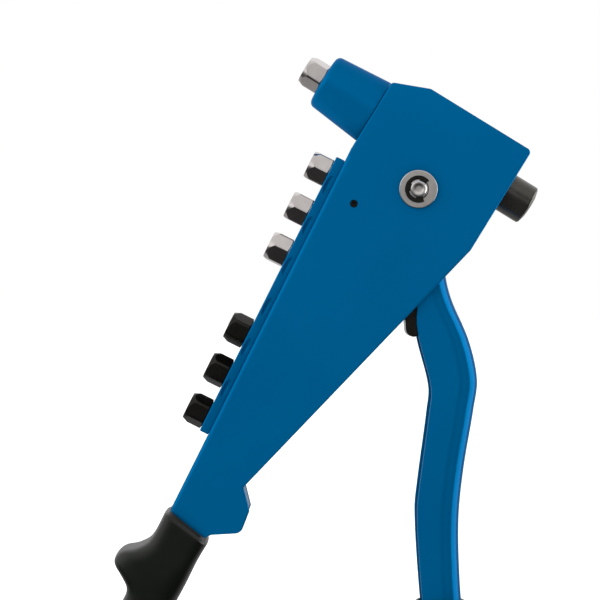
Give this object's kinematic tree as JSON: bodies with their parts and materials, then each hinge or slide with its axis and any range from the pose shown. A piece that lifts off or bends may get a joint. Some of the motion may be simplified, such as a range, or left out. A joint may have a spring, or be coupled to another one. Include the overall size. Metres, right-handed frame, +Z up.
{
  "type": "hand riveter",
  "caption": "Hand riveter for blind rivets with a sheet-steel frame, a squeeze lever, a nose with gripping jaws and a rail of spare nosepieces.",
  "frame": {"origin": "Middle of the tool's bounding box, on the surface that its two handle ends stand on.", "axes": "+Z up. The side plates face -Y and +Y. The nose points up towards -X, and the lever is on the +X side of the handle."},
  "size_m": [0.2048, 0.0324, 0.2866],
  "materials": {
    "blue_paint": "satin-gloss blue paint on sheet steel",
    "bright_plate": "bright plated steel",
    "black_oxide": "black oxide on turned steel",
    "plain_steel": "plain turned steel",
    "hardened_steel": "hardened ground steel",
    "spring_steel": "oiled spring wire",
    "black_grip": "soft satin black moulding"
  },
  "bodies": {
    "frame": {"body_frame": "blue_paint", "nose_housing": "blue_paint", "nosepiece_rail": "blue_paint", "pivot_pin": "plain_steel", "pivot_washer": "plain_steel", "pivot_clip": "black_oxide", "spring_pin": "black_oxide", "rear_guide": "black_oxide", "handle_grip": "black_grip", "return_spring": "spring_steel"},
    "lever": {"lever_channel": "blue_paint", "lever_fork": "black_oxide", "pivot_bushing": "plain_steel", "lever_grip": "black_grip"},
    "jaw_case": {"jaw_case": "hardened_steel", "mandrel_tube": "black_oxide", "jaw_spring": "spring_steel"},
    "jaw_pusher": {"jaw_pusher": "plain_steel"},
    "jaw_1": {"jaw_1": "hardened_steel"},
    "jaw_2": {"jaw_2": "hardened_steel"},
    "jaw_3": {"jaw_3": "hardened_steel"},
    "fitted_nosepiece": {"fitted_nosepiece": "bright_plate"},
    "stored_nosepiece_1": {"stored_nosepiece_1": "bright_plate"},
    "stored_nosepiece_2": {"stored_nosepiece_2": "bright_plate"},
    "stored_nosepiece_3": {"stored_nosepiece_3": "bright_plate"},
    "stored_nosepiece_5": {"stored_nosepiece_5": "black_oxide"},
    "stored_nosepiece_6": {"stored_nosepiece_6": "black_oxide"},
    "stored_nosepiece_7": {"stored_nosepiece_7": "black_oxide"}
  },
  "joints": [
    {"name": "lever_pivot", "type": "hinge", "parent": "frame", "child": "lever", "pos_m": [0.05115, 0, 0.23002], "axis": [0, 1, 0], "range_deg": [0, 26], "stiffness_Nm_per_rad": 1.2, "springref_deg": -22.92, "deforming": ["return_spring"]},
    {"name": "jaw_case_slide", "type": "slide", "parent": "frame", "child": "jaw_case", "axis": [0.8517, 0, -0.524], "range_m": [0, 0.0091]},
    {"name": "jaw_pusher_slide", "type": "slide", "parent": "jaw_case", "child": "jaw_pusher", "axis": [-0.8517, 0, 0.524], "range_m": [0, 0.0016], "deforming": ["jaw_spring"]},
    {"name": "jaw_1_slide", "type": "slide", "parent": "jaw_case", "child": "jaw_1", "axis": [-0.9583, 0, 0.2857], "range_m": [0, 0.0016]},
    {"name": "jaw_2_slide", "type": "slide", "parent": "jaw_case", "child": "jaw_2", "axis": [-0.7549, 0.2241, 0.6164], "range_m": [0, 0.0016]},
    {"name": "jaw_3_slide", "type": "slide", "parent": "jaw_case", "child": "jaw_3", "axis": [-0.7549, -0.2241, 0.6164], "range_m": [0, 0.0016]},
    {"name": "fitted_nosepiece_out", "type": "slide", "parent": "frame", "child": "fitted_nosepiece", "axis": [-0.8517, 0, 0.524], "range_m": [0, 0.013]},
    {"name": "stored_nosepiece_1_out", "type": "slide", "parent": "frame", "child": "stored_nosepiece_1", "axis": [-0.8942, 0, 0.4478], "range_m": [0, 0.013]},
    {"name": "stored_nosepiece_2_out", "type": "slide", "parent": "frame", "child": "stored_nosepiece_2", "axis": [-0.8942, 0, 0.4478], "range_m": [0, 0.013]},
    {"name": "stored_nosepiece_3_out", "type": "slide", "parent": "frame", "child": "stored_nosepiece_3", "axis": [-0.8942, 0, 0.4478], "range_m": [0, 0.013]},
    {"name": "stored_nosepiece_5_out", "type": "slide", "parent": "frame", "child": "stored_nosepiece_5", "axis": [-0.8942, 0, 0.4478], "range_m": [0, 0.013]},
    {"name": "stored_nosepiece_6_out", "type": "slide", "parent": "frame", "child": "stored_nosepiece_6", "axis": [-0.8942, 0, 0.4478], "range_m": [0, 0.013]},
    {"name": "stored_nosepiece_7_out", "type": "slide", "parent": "frame", "child": "stored_nosepiece_7", "axis": [-0.8942, 0, 0.4478], "range_m": [0, 0.013]}
  ],
  "couplings": [
    {"joint": "jaw_case_slide", "follows": "lever_pivot", "m_per_rad": 0.019833},
    {"joint": "jaw_pusher_slide", "follows": "lever_pivot", "m_per_rad": 0.003306},
    {"joint": "jaw_1_slide", "follows": "lever_pivot", "m_per_rad": 0.003422},
    {"joint": "jaw_2_slide", "follows": "lever_pivot", "m_per_rad": 0.003422},
    {"joint": "jaw_3_slide", "follows": "lever_pivot", "m_per_rad": 0.003422}
  ]
}
